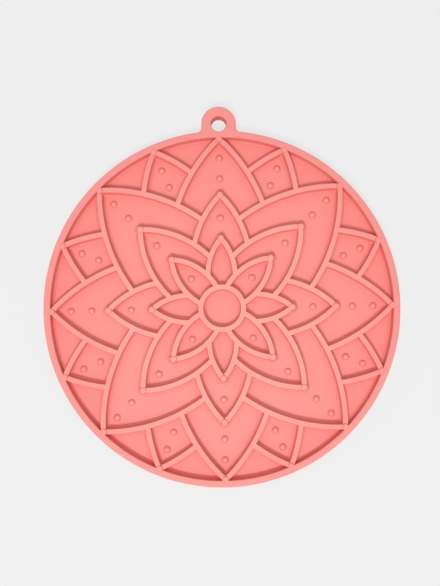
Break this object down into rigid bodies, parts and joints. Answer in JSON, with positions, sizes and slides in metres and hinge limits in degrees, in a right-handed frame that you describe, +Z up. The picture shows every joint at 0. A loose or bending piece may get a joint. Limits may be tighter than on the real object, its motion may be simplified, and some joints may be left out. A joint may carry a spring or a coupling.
{
  "type": "lick mat",
  "caption": "Round rubber lick mat with a raised flower of ribbed petals on a flat floor, a plain rim and a hanging tab with a hole.",
  "frame": {"origin": "centre of the round mat on its flat back", "axes": "+Z up through the mat from its back to its ribs, +Y from the centre to the hanging tab, +X to the right as the mat is seen from above"},
  "size_m": [0.203, 0.2169, 0.0073],
  "materials": {
    "mat_rubber": "matt moulded rubber, salmon pink"
  },
  "bodies": {
    "root": {"base_sheet": "mat_rubber", "outer_rim": "mat_rubber", "hanging_tab": "mat_rubber", "centre_ring": "mat_rubber", "inner_petal_n": "mat_rubber", "inner_petal_ne": "mat_rubber", "inner_petal_e": "mat_rubber", "inner_petal_se": "mat_rubber", "inner_petal_s": "mat_rubber", "inner_petal_sw": "mat_rubber", "inner_petal_w": "mat_rubber", "inner_petal_nw": "mat_rubber", "middle_petal_n": "mat_rubber", "middle_petal_ne": "mat_rubber", "middle_petal_e": "mat_rubber", "middle_petal_se": "mat_rubber", "middle_petal_s": "mat_rubber", "middle_petal_sw": "mat_rubber", "middle_petal_w": "mat_rubber", "middle_petal_nw": "mat_rubber", "outer_petal_n": "mat_rubber", "outer_petal_ne": "mat_rubber", "outer_petal_e": "mat_rubber", "outer_petal_se": "mat_rubber", "outer_petal_s": "mat_rubber", "outer_petal_sw": "mat_rubber", "outer_petal_w": "mat_rubber", "outer_petal_nw": "mat_rubber", "edge_petal_nne": "mat_rubber", "edge_petal_ene": "mat_rubber", "edge_petal_ese": "mat_rubber", "edge_petal_sse": "mat_rubber", "edge_petal_ssw": "mat_rubber", "edge_petal_wsw": "mat_rubber", "edge_petal_wnw": "mat_rubber", "edge_petal_nnw": "mat_rubber", "inner_tip_beads": "mat_rubber", "middle_tip_beads": "mat_rubber", "outer_tip_beads": "mat_rubber", "edge_tip_beads": "mat_rubber", "inner_studs": "mat_rubber", "middle_studs": "mat_rubber", "outer_upper_studs": "mat_rubber", "outer_lower_studs": "mat_rubber", "edge_upper_studs": "mat_rubber", "edge_lower_studs": "mat_rubber"}
  },
  "joints": []
}
